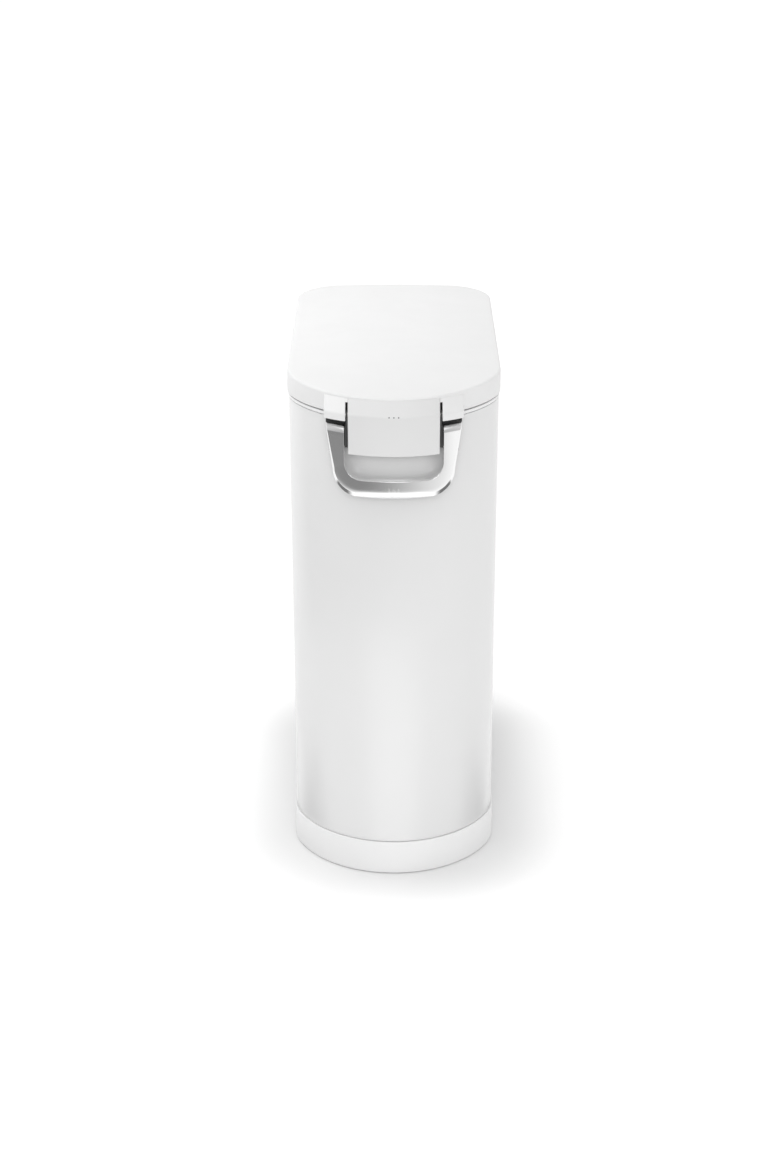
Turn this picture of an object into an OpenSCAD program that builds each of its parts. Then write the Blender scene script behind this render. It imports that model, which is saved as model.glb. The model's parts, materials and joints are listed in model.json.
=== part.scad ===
// Latching lidded storage can: painted steel body, moulded plinth, lift-out bucket,
// sealed lid on a rear hinge, and a chrome bail whose tangs turn on two stub pins.
// Front (latch side) faces -Y, +Z is up, the origin is the bottom centre of the whole can.

/* [Body] */
// Width of the steel body across its flat sides
body_w = 256; // [250:1:264]
// Depth of the steel body, from the bowed front to the rear wall
body_depth = 478; // [460:1:500]
// Radius of the bowed front
front_r = 134; // [133.5:0.5:138]
// Radius where the bowed front runs into a side
side_r = 77; // [66:1:84]
// Radius of the two rear corners
rear_r = 61; // [50:1:70]
// Radius of the slight bow across the rear wall
rear_bow_r = 718; // [600:1:1200]
// Thickness of the steel sheet
sheet = 0.8; // [0.6:0.1:1]

/* [Heights] */
// Top of the lid
height = 648; // [646:1:656]
// Top of the collar, where the lid seals
rim_z = 616.8; // [616:0.2:618]
// Height of the moulded plinth above the floor
plinth_top = 46; // [46:0.5:50]

/* [Lid] */
// How far the lid stands outside the body all round
lid_proud = 1.6; // [1.2:0.1:2]
// Wall of the lid moulding
lid_wall = 2.5; // [2:0.1:3]
// How much lower the lid is at its front tip than at its rear
lid_drop = 5.5; // [3:0.5:7]

/* [Latch] */
// Depth of the ears and the latch cover in front of the body
cover_reach = 17; // [16:0.5:17.5]
// Width of the latch cover
cover_w = 108; // [104:0.5:108]
// Lower edge of the latch cover
cover_bottom = 575; // [570:1:580]
// Distance from the centre line to the outer end of an ear
ear_end = 82.5; // [80:0.5:84]
// Underside of the ears
ear_bottom = 615.2; // [614.4:0.2:615.4]
// Radius of a bail pivot pin
pin_r = 2.5; // [2:0.1:2.6]
// Lowest point of the bail when it hangs down
bail_bottom = 522; // [518:1:526]

/* [Hinge] */
// Distance of the hinge axis behind the rear wall
hinge_back = 9; // [9:0.5:10]
// Outer radius of a hinge knuckle
knuckle_r = 5; // [4.6:0.1:5]
// Radius of the hinge pin
hinge_pin_r = 2.5; // [2:0.1:2.6]

/* [Rollers] */
// Radius of a rear roller
roller_r = 18; // [16:0.5:18]
// Distance of each roller from the centre line
roller_x = 62; // [60:1:64]

/* [Hidden] */
$fn = 48;

// Plan: the can is symmetric about X = 0 and is centred on Y between bail and hinge.
bail_reach = 18;
hinge_reach = hinge_back + knuckle_r;
front_y = bail_reach - (bail_reach + body_depth + hinge_reach) / 2;
rear_y = front_y + body_depth;
half_w = body_w / 2;
arc_y = front_y + front_r;
side_x = half_w - side_r;
side_back = sqrt(pow(front_r - side_r, 2) - pow(side_x, 2));
side_y = arc_y - side_back;
corner_x = half_w - rear_r;
corner_back = sqrt(pow(rear_bow_r - rear_r, 2) - pow(corner_x, 2));
rear_arc_y = rear_y - rear_bow_r;
corner_y = rear_arc_y + corner_back;
side_turn = atan2(side_back, side_x);
corner_turn = atan2(corner_back, corner_x);

// Fits: running fit of a pin in its bore, slip fit of a screw, gap between faces that touch.
run_fit = 0.05;
slip_fit = 0.05;
face_gap = 0.1;
screw_r = 1.5;
clear_r = 1.75;

// Plinth, feet and rollers.
plinth_proud = 2;
plinth_z = 1.2;
plinth_wall = 3;
deck_t = 3;
rib_z = 37.5;
foot_r = 11;
foot_t = 5.5;
foot_spots = [[-74, side_y + 4], [74, side_y + 4], [-78, corner_y - 40], [78, corner_y - 40]];
roller_w = 16;
roller_y = rear_y + 1 - roller_r;
roller_z = roller_r + 1;
axle_r = 3;
axle_end = roller_x + 15.5;
floor_spots = [[-82, side_y + 60], [82, side_y + 60], [-82, corner_y - 90], [82, corner_y - 90],
    [0, front_y + 40], [0, rear_y - 70]];

// Shell, collar, bucket.
shell_bottom = plinth_top + 0.6;
collar_bottom = rim_z - 4.2;
shell_top = collar_bottom - 0.4;
bucket_floor = plinth_top + 16.5;
ledge_top = rim_z - 10;
bucket_out = -17;
bucket_wall = 2;

// Lid.
lid_bottom = rim_z + 0.8;
liner_z = rim_z + 4.9;
liner_t = 2.5;
drop_start_y = side_y + 50;
drop_len = drop_start_y - front_y + lid_proud;
boss_spots = [[-88, side_y + 40], [88, side_y + 40], [-92, 40], [92, 40], [-60, corner_y + 10],
    [60, corner_y + 10], [0, front_y + 45]];

// Latch: everything follows cylinders round the centre of the bowed front.
pivot_y = front_y + 3.2;
pivot_z = 621;
arm_start = 58.6;
ear_gap = 2.9;
cover_half = cover_w / 2;
ear_start = cover_half + ear_gap;
cover_wall = 2.4;
shoulder_z = 623.5;
slope_top = 639.2;
bridge_z = 635;
cavity_top = 635;
bracket_top = 634;
bush_r = 3.6;
bush_end = 64;
cover_screw_xs = [-18, 18];
cover_screw_z = 626;
tang_x0 = cover_half + 0.45;
tang_t = 2;
tang_hub_r = 5.2;
tang_foot = arm_start - 0.6;
claw_y = arc_y - sqrt(pow(front_r + 4.1, 2) - pow(tang_x0, 2));
bail_back = 9;
bail_top = 608;
bail_top_half = 80.3;
bail_inner_bottom = 544.3;
strike_z0 = 582;
strike_z1 = 600;
strike_xs = [-30, 30];
lip_z = 588;
guard_bottom = 603.5;
guard_top = 634.6;
bumper_spot = [75, 570];
bumper_r = 3;
tang_screw_spots = [[64, 589], [69, 597]];

// Hinge.
hinge_y = rear_y + hinge_back;
hinge_z = rim_z + 4.2;
leaf_half = 50;
leaf_t = 2;
knuckle_gap = 0.4;
body_knuckles = [[-50, -30], [-8, 8], [30, 50]];
lid_knuckles = [[-30 + knuckle_gap, -8 - knuckle_gap], [8 + knuckle_gap, 30 - knuckle_gap]];
leaf_holes_x = [-38, 38];
hinge_body_rows = [577, 592];
hinge_lid_row = 634;

function arc(cx, cy, r, from, to, n) =
    [for (i = [0 : n]) let (a = from + (to - from) * i / n) [cx + r * cos(a), cy + r * sin(a)]];

// Outline of the can's plan, moved outwards by d (inwards when d is negative).
function plan(d) = concat(
    arc(side_x, side_y, side_r + d, -side_turn, 0, 5),
    arc(corner_x, corner_y, rear_r + d, 0, corner_turn, 9),
    arc(0, rear_arc_y, rear_bow_r + d, corner_turn + 1.3, 178.7 - corner_turn, 6),
    arc(-corner_x, corner_y, rear_r + d, 180 - corner_turn, 180, 9),
    arc(-side_x, side_y, side_r + d, 180, 180 + side_turn, 5),
    arc(0, arc_y, front_r + d, 183.8 + side_turn, 356.2 - side_turn, 34));

module slab(d, z0, z1) {
    translate([0, 0, z0]) linear_extrude(z1 - z0) polygon(plan(d));
}

module band(d_out, d_in, z0, z1) {
    difference() {
        slab(d_out, z0, z1);
        slab(d_in, z0 - 1, z1 + 1);
    }
}

// A prism along X whose section is drawn in the Y-Z plane.
module prism_x(points, x0, x1) {
    translate([x0, 0, 0]) rotate([90, 0, 90]) linear_extrude(x1 - x0) polygon(points);
}

module rod_x(r, x0, x1, y, z) {
    translate([x0, y, z]) rotate([0, 90, 0]) cylinder(r = r, h = x1 - x0);
}

module rod_y(r, y0, y1, x, z) {
    translate([x, y1, z]) rotate([90, 0, 0]) cylinder(r = r, h = y1 - y0);
}

module box(x0, x1, y0, y1, z0, z1) {
    translate([x0, y0, z0]) cube([x1 - x0, y1 - y0, z1 - z0]);
}

module both_sides() {
    children();
    mirror([1, 0, 0]) children();
}

// A ring round the centre of the bowed front: points are [distance in front of the body, z].
module front_turn(points) {
    translate([0, arc_y, 0]) rotate_extrude($fn = 180)
        polygon([for (p = points) [front_r + p[0], p[1]]]);
}

// The stretch of such a ring between two distances from the centre line, at the front only.
module front_sector(points, x0, x1) {
    intersection() {
        front_turn(points);
        box(x0, x1, front_y - 30, side_y, 400, 700);
    }
}

// Depth in Y of a point x from the centre line, d in front of the bowed front.
function front_at(x, d) = arc_y - sqrt(pow(front_r + d, 2) - x * x);

module pan_screw(len, head_r = 3, head_h = 1.8) {
    difference() {
        union() {
            cylinder(r = screw_r, h = len);
            translate([0, 0, -head_h]) cylinder(r = head_r, h = head_h);
        }
        for (turn = [0, 90]) rotate([0, 0, turn])
            translate([-1.4, -0.35, -head_h - 1]) cube([2.8, 0.7, 1.9]);
    }
}

// ---- Plinth, feet, rollers ----

module roller_bay(x) {
    box(x - roller_w / 2 - 1, x + roller_w / 2 + 1, roller_y - roller_r - 3, rear_y + 20,
        -1, roller_z + roller_r + 3);
}

module roller_housing(x) {
    intersection() {
        slab(-0.5, plinth_z, plinth_top - 0.5);
        box(x - roller_w / 2 - 4, x + roller_w / 2 + 4, roller_y - roller_r - 6, rear_y + 20,
            plinth_z, plinth_top - 0.5);
    }
}

module plinth_ribs() {
    for (x = [-34, 34]) box(x - 1, x + 1, front_y + 20, roller_y - 40, rib_z, plinth_top - 1);
    for (y = [side_y + 34, 0, corner_y - 70]) box(-half_w + 1, half_w - 1, y - 1, y + 1,
        rib_z, plinth_top - 1);
}

module plinth() {
    color("white") difference() {
        union() {
            band(plinth_proud, plinth_proud - plinth_wall, plinth_z, plinth_top);
            slab(plinth_proud - 1, plinth_top - deck_t, plinth_top);
            plinth_ribs();
            for (p = foot_spots) translate([p[0], p[1], plinth_z])
                cylinder(r = foot_r + 3, h = plinth_top - plinth_z - 1);
            both_sides() roller_housing(roller_x);
        }
        for (p = foot_spots) translate([p[0], p[1], plinth_z - 1])
            cylinder(r = foot_r + 0.15, h = foot_t - plinth_z + 1);
        for (p = floor_spots) translate([p[0], p[1], plinth_z])
            cylinder(r = clear_r, h = plinth_top);
        both_sides() roller_bay(roller_x);
        rod_x(axle_r + slip_fit, -axle_end, axle_end, roller_y, roller_z);
        translate([-half_w - 10, roller_y + 4.8, 0]) rotate([45, 0, 0])
            translate([0, 0, -40]) cube([body_w + 20, 80, 40]);
    }
}

module rubber_feet() {
    color("dimgray") for (p = foot_spots) translate([p[0], p[1], 0]) union() {
        cylinder(r = foot_r - 1, h = 1);
        translate([0, 0, 1]) cylinder(r = foot_r, h = foot_t - 1);
    }
}

module floor_plate() {
    color("silver") difference() {
        union() {
            slab(-sheet - 0.4, plinth_top + face_gap, plinth_top + 1.3);
            band(-sheet - 0.4, -sheet - 1.4, plinth_top + face_gap, plinth_top + 14);
        }
        for (p = floor_spots) translate([p[0], p[1], plinth_top - 1])
            cylinder(r = screw_r + slip_fit, h = 4);
    }
}

module floor_screws() {
    color("gray") for (p = floor_spots)
        translate([p[0], p[1], plinth_top - deck_t - face_gap]) pan_screw(9);
}

module roller_axle() {
    color("silver") rod_x(axle_r, 0.5 - axle_end, axle_end - 0.5, roller_y, roller_z);
}

module axle_caps() {
    color("dimgray") both_sides() difference() {
        rod_x(6, roller_x + 12.3, roller_x + 13.7, roller_y, roller_z);
        rod_x(axle_r + 0.02, roller_x + 11, roller_x + 15, roller_y, roller_z);
    }
}

module roller(x) {
    color("darkgray") translate([x, roller_y, roller_z]) rotate([0, 90, 0]) rotate_extrude()
        polygon([[axle_r + run_fit, -roller_w / 2], [axle_r + 4, -roller_w / 2],
            [axle_r + 4, -2], [roller_r - 5, -2], [roller_r - 5, 1.5 - roller_w / 2],
            [roller_r - 1.5, 1.5 - roller_w / 2], [roller_r, 3 - roller_w / 2],
            [roller_r, roller_w / 2 - 3], [roller_r - 1.5, roller_w / 2 - 1.5],
            [roller_r - 5, roller_w / 2 - 1.5], [roller_r - 5, 2], [axle_r + 4, 2],
            [axle_r + 4, roller_w / 2], [axle_r + run_fit, roller_w / 2]]);
}

module roller_left() { roller(-roller_x); }

module roller_right() { roller(roller_x); }

// ---- Body ----

module body_shell() {
    color("whitesmoke") difference() {
        band(0, -sheet, shell_bottom, shell_top);
        strike_holes(clear_r, front_y - 5, front_y + 20);
        both_sides() rod_y(1.6, front_y, front_y + 60, bumper_spot[0], bumper_spot[1]);
        for (x = leaf_holes_x, z = hinge_body_rows) rod_y(clear_r, rear_y - 20, rear_y + 5, x, z);
    }
}

module collar() {
    color("white") union() {
        band(0.5, -7, collar_bottom, rim_z);
        band(-sheet - 0.3, -sheet - 2.5, collar_bottom - 11, collar_bottom + 1);
        band(-5, -7, ledge_top - 2, rim_z);
        band(-5, -13, ledge_top - 2, ledge_top);
    }
}

module bucket() {
    inside = bucket_out - bucket_wall;
    lip_x = half_w + inside;
    color("lightgray") union() {
        difference() {
            union() {
                slab(bucket_out, bucket_floor, ledge_top + 1);
                slab(-7.6, ledge_top + 0.1, ledge_top + 2.6);
            }
            slab(inside, bucket_floor + 2.5, ledge_top + 5);
        }
        both_sides() {
            box(lip_x - 7, lip_x + 1, -50, 50, ledge_top - 8, ledge_top - 5.5);
            for (y = [-50, 48]) box(lip_x - 7, lip_x + 1, y, y + 2, ledge_top - 16, ledge_top - 6);
        }
    }
}

module strike_holes(r, y0, y1) {
    for (x = strike_xs) rod_y(r, y0, y1, x, (strike_z0 + strike_z1) / 2);
}

module strike_plate() {
    color("silver") difference() {
        union() {
            front_sector([[0.15, strike_z0], [1.65, strike_z0], [1.65, strike_z1],
                [0.15, strike_z1]], -62, 62);
            both_sides() front_sector([[0.6, lip_z], [3.6, lip_z], [3.6, lip_z + 2], [0.6, lip_z + 2]],
                tang_x0 - 0.2, tang_foot + 0.5);
        }
        strike_holes(clear_r, front_y - 20, front_y + 20);
    }
}

module strike_backing() {
    color("silver") difference() {
        front_sector([[-sheet - 1.9, strike_z0], [-sheet - 0.3, strike_z0],
            [-sheet - 0.3, strike_z1 - 1], [-sheet - 1.9, strike_z1 - 1]], -44, 44);
        strike_holes(screw_r + slip_fit, front_y - 20, front_y + 20);
    }
}

module strike_screws() {
    color("silver") for (x = strike_xs)
        translate([x, front_at(x, 1.65) - 0.75, (strike_z0 + strike_z1) / 2])
            rotate([-90, 0, 0]) pan_screw(8, 2.8, 1.4);
}

module arm_bumpers() {
    color("gainsboro") both_sides() union() {
        intersection() {
            translate([bumper_spot[0], 0, bumper_spot[1]]) rotate([90, 0, 0])
                cylinder(r = bumper_r, h = 400);
            front_sector([[0.2, 560], [8.6, 560], [8.6, 580], [0.2, 580]], 60, 90);
        }
        rod_y(1.5, front_at(bumper_spot[0], 4), front_at(bumper_spot[0], -4),
            bumper_spot[0], bumper_spot[1]);
    }
}

// ---- Rear hinge ----

module knuckle(x0, x1) {
    rod_x(knuckle_r, x0, x1, hinge_y, hinge_z);
}

module hinge_body_leaf() {
    color("silver") difference() {
        union() {
            intersection() {
                band(0.2 + leaf_t, 0.2, 567, 606);
                box(-leaf_half, leaf_half, rear_y - 20, rear_y + 20, 560, 620);
            }
            for (k = body_knuckles) {
                knuckle(k[0], k[1]);
                prism_x([[rear_y - 1, 599], [rear_y + 2, 599], [hinge_y + 4.6, hinge_z - 2],
                    [hinge_y, hinge_z], [hinge_y - 4.8, hinge_z - 1.3], [rear_y + 1.9, 608],
                    [rear_y - 1, 606]], k[0], k[1]);
            }
        }
        slab(0.2, 560, 612);
        for (x = leaf_holes_x, z = hinge_body_rows) rod_y(clear_r, rear_y - 20, rear_y + 9, x, z);
        rod_x(hinge_pin_r + run_fit, -60, 60, hinge_y, hinge_z);
    }
}

module hinge_backing() {
    color("silver") difference() {
        intersection() {
            band(-sheet - 0.2, -sheet - 1.8, 570, 599);
            box(-leaf_half, leaf_half, rear_y - 20, rear_y + 20, 560, 620);
        }
        for (x = leaf_holes_x, z = hinge_body_rows)
            rod_y(screw_r + slip_fit, rear_y - 20, rear_y + 9, x, z);
    }
}

module hinge_body_screws() {
    color("silver") for (x = leaf_holes_x, z = hinge_body_rows)
        translate([x, rear_y + leaf_t + 0.35, z]) rotate([90, 0, 0]) pan_screw(8);
}

module hinge_pin() {
    color("silver") rod_x(hinge_pin_r, -leaf_half - 2, leaf_half + 2, hinge_y, hinge_z);
}

module hinge_pin_caps() {
    color("white") both_sides() difference() {
        rod_x(knuckle_r - 0.5, leaf_half + 0.3, leaf_half + 3.5, hinge_y, hinge_z);
        rod_x(hinge_pin_r + 0.02, leaf_half - 1, leaf_half + 2.2, hinge_y, hinge_z);
    }
}

// ---- Lid ----

// Section of the lid's top: level from the rear, then falling in a slow curve to the front.
function lid_top_line(z) = concat(
    [[rear_y + 10, 600], [rear_y + 10, z]],
    [for (i = [0 : 9]) [drop_start_y - drop_len * i / 9, z - lid_drop * i * i / 81]],
    [[front_y - 10, z - lid_drop - 0.9], [front_y - 10, 600]]);

// An ear on each side, and above each slot a narrow bridge of the same slope.
module ears() {
    both_sides() difference() {
        union() {
            front_sector([[-0.5, ear_bottom], [cover_reach - 1.5, ear_bottom],
                [cover_reach, ear_bottom + 1.5], [cover_reach, shoulder_z + 1],
                [0.5, slope_top + 0.3], [-0.5, slope_top + 0.3]], ear_start, ear_end);
            front_sector([[-0.5, bridge_z], [5.2, bridge_z], [0.5, slope_top + 0.3],
                [-0.5, slope_top + 0.3]], cover_half + 0.1, ear_start + 0.5);
        }
        slab(0.9, 610, lid_bottom);
    }
}

module lid_shell() {
    color("white") difference() {
        union() {
            difference() {
                intersection() {
                    slab(lid_proud, lid_bottom, height);
                    prism_x(lid_top_line(height), -half_w - 10, half_w + 10);
                }
                intersection() {
                    slab(lid_proud - lid_wall, lid_bottom - 1, height);
                    prism_x(lid_top_line(height - lid_wall), -half_w - 10, half_w + 10);
                }
            }
            ears();
            for (p = boss_spots) intersection() {
                translate([p[0], p[1], liner_z + liner_t + face_gap]) cylinder(r = 4, h = 40);
                prism_x(lid_top_line(height - 1), -half_w, half_w);
            }
        }
        for (p = boss_spots) translate([p[0], p[1], liner_z]) cylinder(r = screw_r + slip_fit, h = 14);
        both_sides() rod_x(bush_r + 0.02, ear_start - 1, bush_end, pivot_y, pivot_z);
        for (x = cover_screw_xs) rod_y(clear_r, front_y - 9, front_y + 12, x, cover_screw_z);
        for (x = leaf_holes_x) rod_y(screw_r + slip_fit, rear_y - 8, rear_y + 9, x, hinge_lid_row);
    }
}

module lid_liner() {
    color("lightgray") difference() {
        union() {
            slab(-1.3, liner_z, liner_z + liner_t);
            band(-1.3, -2.2, rim_z + 1.2, liner_z + 1);
            band(-5.8, -7.2, rim_z + 1.2, liner_z + 1);
            band(-8.6, -10.6, rim_z - 6, liner_z + 1);
        }
        for (p = boss_spots) translate([p[0], p[1], liner_z - 1]) cylinder(r = clear_r, h = 5);
        for (x = cover_screw_xs) box(x - 3.3, x + 3.3, front_y, front_at(x, -5), cover_screw_z - 3.2,
            cover_screw_z);
    }
}

module liner_screws() {
    color("silver") for (p = boss_spots) translate([p[0], p[1], liner_z - face_gap]) pan_screw(13);
}

module lid_gasket() {
    color("gray") union() {
        band(-2.4, -5.6, rim_z + 1.4, liner_z - face_gap);
        band(-3.2, -4.8, rim_z + 0.15, rim_z + 2);
    }
}

module hinge_lid_leaf() {
    color("silver") difference() {
        union() {
            intersection() {
                band(lid_proud + 0.15 + leaf_t, lid_proud + 0.15, rim_z + 6, 642);
                box(-30 + knuckle_gap, 30 - knuckle_gap, rear_y - 20, rear_y + 20, 600, 660);
            }
            intersection() {
                band(lid_proud + 0.15 + leaf_t, lid_proud + 0.15, 629, 642);
                box(-leaf_half, leaf_half, rear_y - 20, rear_y + 20, 600, 660);
            }
            for (k = lid_knuckles) {
                knuckle(k[0], k[1]);
                box(k[0], k[1], rear_y + lid_proud - 2, hinge_y, hinge_z + 2, hinge_z + knuckle_r);
            }
        }
        slab(lid_proud + 0.15, 600, 660);
        box(-7.6 - knuckle_gap, 7.6 + knuckle_gap, rear_y - 5, rear_y + 30, 600, 628);
        for (x = leaf_holes_x) rod_y(clear_r, rear_y - 20, rear_y + 9, x, hinge_lid_row);
        rod_x(hinge_pin_r + run_fit, -60, 60, hinge_y, hinge_z);
    }
}

module hinge_lid_screws() {
    color("silver") for (x = leaf_holes_x)
        translate([x, rear_y + lid_proud + leaf_t + 0.3, hinge_lid_row]) rotate([90, 0, 0])
            pan_screw(7);
}

// ---- Latch ----

module latch_cover() {
    color("white") difference() {
        union() {
            difference() {
                front_sector([[2.6, cover_bottom], [cover_reach - 1, cover_bottom],
                    [cover_reach, cover_bottom + 1], [cover_reach, shoulder_z],
                    [2.2, slope_top], [lid_proud + 0.15, slope_top], [lid_proud + 0.15, 618],
                    [2.6, 618]],
                    -cover_half, cover_half);
                front_sector([[0, cover_bottom - 1], [cover_reach - cover_wall, cover_bottom - 1],
                    [cover_reach - cover_wall, shoulder_z - 1], [3.6, cavity_top],
                    [0, cavity_top]],
                    cover_wall - cover_half, cover_half - cover_wall);
            }
            for (x = cover_screw_xs) rod_y(3.2, front_at(x, 10.2), front_at(x, 4.3), x,
                cover_screw_z);
            for (x = [-36, -12, 12, 36]) front_sector([[cover_reach - 5, cover_bottom + 3],
                [cover_reach - 1, cover_bottom + 3], [cover_reach - 1, 616],
                [cover_reach - 5, 616]], x - 0.8, x + 0.8);
        }
        for (x = cover_screw_xs) rod_y(screw_r + slip_fit, front_at(x, 8.6), front_y + 12, x,
            cover_screw_z);
        both_sides() rod_x(pin_r + 0.6, cover_half - 5, cover_half + 5, pivot_y, pivot_z);
    }
}

// A black moulding on each side, behind the slot beside the cover and the gap over the bail's arm.
module latch_guards() {
    under_ear = ear_bottom - face_gap;
    strip = lid_proud + 0.15;
    strip_front = strip + 0.5;
    color("dimgray") both_sides() union() {
        front_sector([[strip, guard_bottom + 2], [strip_front, guard_bottom + 2],
            [strip_front, guard_top], [strip, guard_top]], cover_half + 0.3, ear_start - 0.3);
        front_sector([[strip, guard_bottom + 2], [strip_front, guard_bottom + 2],
            [strip_front, under_ear], [strip, under_ear]], cover_half + 0.3, ear_start + 2);
        front_sector([[1.3, guard_bottom], [5, guard_bottom], [5, 608.4], [4, 609.2],
            [4, under_ear], [1.3, under_ear]], ear_start + 0.3, ear_end - 2);
    }
}

module pin_bracket() {
    color("silver") difference() {
        union() {
            front_sector([[lid_proud + 0.15, 618.8], [lid_proud + 1.65, 618.8],
                [lid_proud + 1.65, bracket_top], [lid_proud + 0.15, bracket_top]], -50.5, 50.5);
            both_sides() {
                rod_x(5, 48, 50.5, pivot_y, pivot_z);
                box(48, 50.5, pivot_y - 5, front_at(49, lid_proud + 0.9), 618.8, 626);
            }
        }
        slab(lid_proud + 0.05, 600, 640);
        for (x = cover_screw_xs) rod_y(clear_r, front_y - 9, front_y + 12, x, cover_screw_z);
        both_sides() rod_x(pin_r + run_fit, 46, 52, pivot_y, pivot_z);
    }
}

module cover_screws() {
    color("silver") for (x = cover_screw_xs)
        translate([x, front_at(x, lid_proud - lid_wall) + 0.6, cover_screw_z])
            rotate([90, 0, 0]) pan_screw(8.6);
}

module pivot_bushes() {
    color("ivory") both_sides() difference() {
        rod_x(bush_r, ear_start + 0.1, bush_end - 0.1, pivot_y, pivot_z);
        rod_x(pin_r + run_fit, ear_start - 1, bush_end + 1, pivot_y, pivot_z);
    }
}

// Front view of the bail, drawn in X-Z: a U with tapering arms and round lower corners.
module bail_outline() {
    difference() {
        polygon(concat(
            [[-bail_top_half, bail_top], [bail_top_half, bail_top]],
            [for (a = [0 : 10]) bail_corner(a * 9)],
            [for (a = [10 : -1 : 0]) [-bail_corner(a * 9)[0], bail_corner(a * 9)[1]]]));
        hull() {
            translate([-arm_start, bail_top + 1]) square([2 * arm_start, 1]);
            for (x = [-1, 1]) translate([x * (arm_start - 20), bail_inner_bottom + 20])
                circle(r = 20, $fn = 32);
        }
    }
}

function bail_corner(a) = [44 + 28.5 * cos(a), bail_bottom + 32 - 32 * sin(a)];

module bail_handle() {
    color("lightsteelblue") difference() {
        intersection() {
            front_turn([[bail_back, 500], [bail_reach, 500], [bail_reach, 620],
                [bail_back, 620]]);
            translate([0, side_y, 0]) rotate([90, 0, 0]) linear_extrude(300) bail_outline();
        }
        both_sides() for (p = tang_screw_spots)
            rod_y(screw_r + slip_fit, front_at(p[0], bail_back + 5), side_y, p[0], p[1]);
    }
}

module bail_tangs() {
    color("dimgray") both_sides() difference() {
        union() {
            rod_x(tang_hub_r, tang_x0, tang_x0 + tang_t, pivot_y, pivot_z);
            prism_x([[pivot_y - 5, pivot_z], [pivot_y + 4.6, pivot_z], [pivot_y + 3.4, 611],
                [pivot_y + 3.4, 589], [claw_y, 586], [pivot_y + 3.4, 581], [pivot_y - 3, 581],
                [pivot_y - 3, 609]], tang_x0, tang_x0 + tang_t);
            prism_x([[pivot_y + 3.4, 608], [pivot_y + 3.4, 589], [claw_y, 586],
                [pivot_y + 3.4, 581], [pivot_y - 3, 581], [pivot_y - 3, 608]], tang_x0, tang_foot);
            front_sector([[bail_back - 2.6, 582], [bail_back - face_gap, 582],
                [bail_back - face_gap, 602], [bail_back - 2.6, 602]], tang_x0, 74);
        }
        rod_x(pin_r + 0.01, tang_x0 - 1, tang_x0 + tang_t + 1, pivot_y, pivot_z);
        for (p = tang_screw_spots) rod_y(clear_r, front_y - 30, side_y, p[0], p[1]);
    }
}

module tang_screws() {
    color("silver") both_sides() for (p = tang_screw_spots)
        translate([p[0], front_at(p[0], bail_back - 2.6) + 1.4, p[1]]) rotate([90, 0, 0])
            pan_screw(6.2, 2.4, 1.2);
}

module pivot_pins() {
    color("silver") both_sides() rod_x(pin_r, 47.6, bush_end - 0.3, pivot_y, pivot_z);
}

plinth();
rubber_feet();
floor_plate();
floor_screws();
roller_axle();
axle_caps();
roller_left();
roller_right();
body_shell();
collar();
bucket();
strike_plate();
strike_backing();
strike_screws();
arm_bumpers();
hinge_body_leaf();
hinge_backing();
hinge_body_screws();
hinge_pin();
hinge_pin_caps();
lid_shell();
lid_liner();
liner_screws();
lid_gasket();
hinge_lid_leaf();
hinge_lid_screws();
latch_cover();
latch_guards();
pin_bracket();
cover_screws();
pivot_bushes();
bail_handle();
bail_tangs();
tang_screws();
pivot_pins();
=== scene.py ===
"""Looks of the latching lidded storage can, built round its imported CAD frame.

Everything is in metres in the CAD frame: the latch side faces -Y and +Z is up. A distance called
proud is measured outwards from the painted body, and negative inside it.
"""
import json
import math

import bmesh
import bpy
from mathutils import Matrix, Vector


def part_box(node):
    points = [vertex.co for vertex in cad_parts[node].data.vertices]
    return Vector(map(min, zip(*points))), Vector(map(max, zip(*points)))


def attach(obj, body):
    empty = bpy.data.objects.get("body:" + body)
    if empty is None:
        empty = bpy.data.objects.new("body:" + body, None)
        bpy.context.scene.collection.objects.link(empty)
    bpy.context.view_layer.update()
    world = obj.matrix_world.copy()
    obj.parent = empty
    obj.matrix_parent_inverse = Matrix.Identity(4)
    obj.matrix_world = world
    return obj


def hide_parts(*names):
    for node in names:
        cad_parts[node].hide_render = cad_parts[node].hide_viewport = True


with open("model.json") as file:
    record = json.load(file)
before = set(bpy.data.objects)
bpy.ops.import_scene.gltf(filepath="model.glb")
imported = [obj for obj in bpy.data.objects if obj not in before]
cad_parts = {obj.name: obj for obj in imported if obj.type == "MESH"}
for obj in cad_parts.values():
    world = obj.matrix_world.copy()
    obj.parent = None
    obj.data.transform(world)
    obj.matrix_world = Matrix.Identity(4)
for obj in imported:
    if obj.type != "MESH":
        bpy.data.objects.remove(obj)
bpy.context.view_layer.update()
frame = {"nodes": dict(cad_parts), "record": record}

MM = 0.001

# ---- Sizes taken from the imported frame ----

body_low, body_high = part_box("body_shell")
plinth_low, plinth_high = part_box("plinth")
collar_low, collar_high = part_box("collar")
lid_low, lid_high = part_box("lid_shell")
liner_low, liner_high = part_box("lid_liner")
cover_low, cover_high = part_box("latch_cover")
bail_low, bail_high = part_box("bail_handle")
pin_low, pin_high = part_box("pivot_pins")
wheel_low, wheel_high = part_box("roller_right")
axle_low, axle_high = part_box("roller_axle")

HALF_W = body_high.x
FRONT_Y = body_low.y
REAR_Y = body_high.y
PIVOT = (pin_low + pin_high) / 2
AXLE = (axle_low + axle_high) / 2

# The plan's four radii: bowed front, front side fillet, rear corner, bow of the rear wall.
FRONT_R = 134 * MM
SIDE_R = 77 * MM
CORNER_R = 61 * MM
BOW_R = 718 * MM

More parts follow.
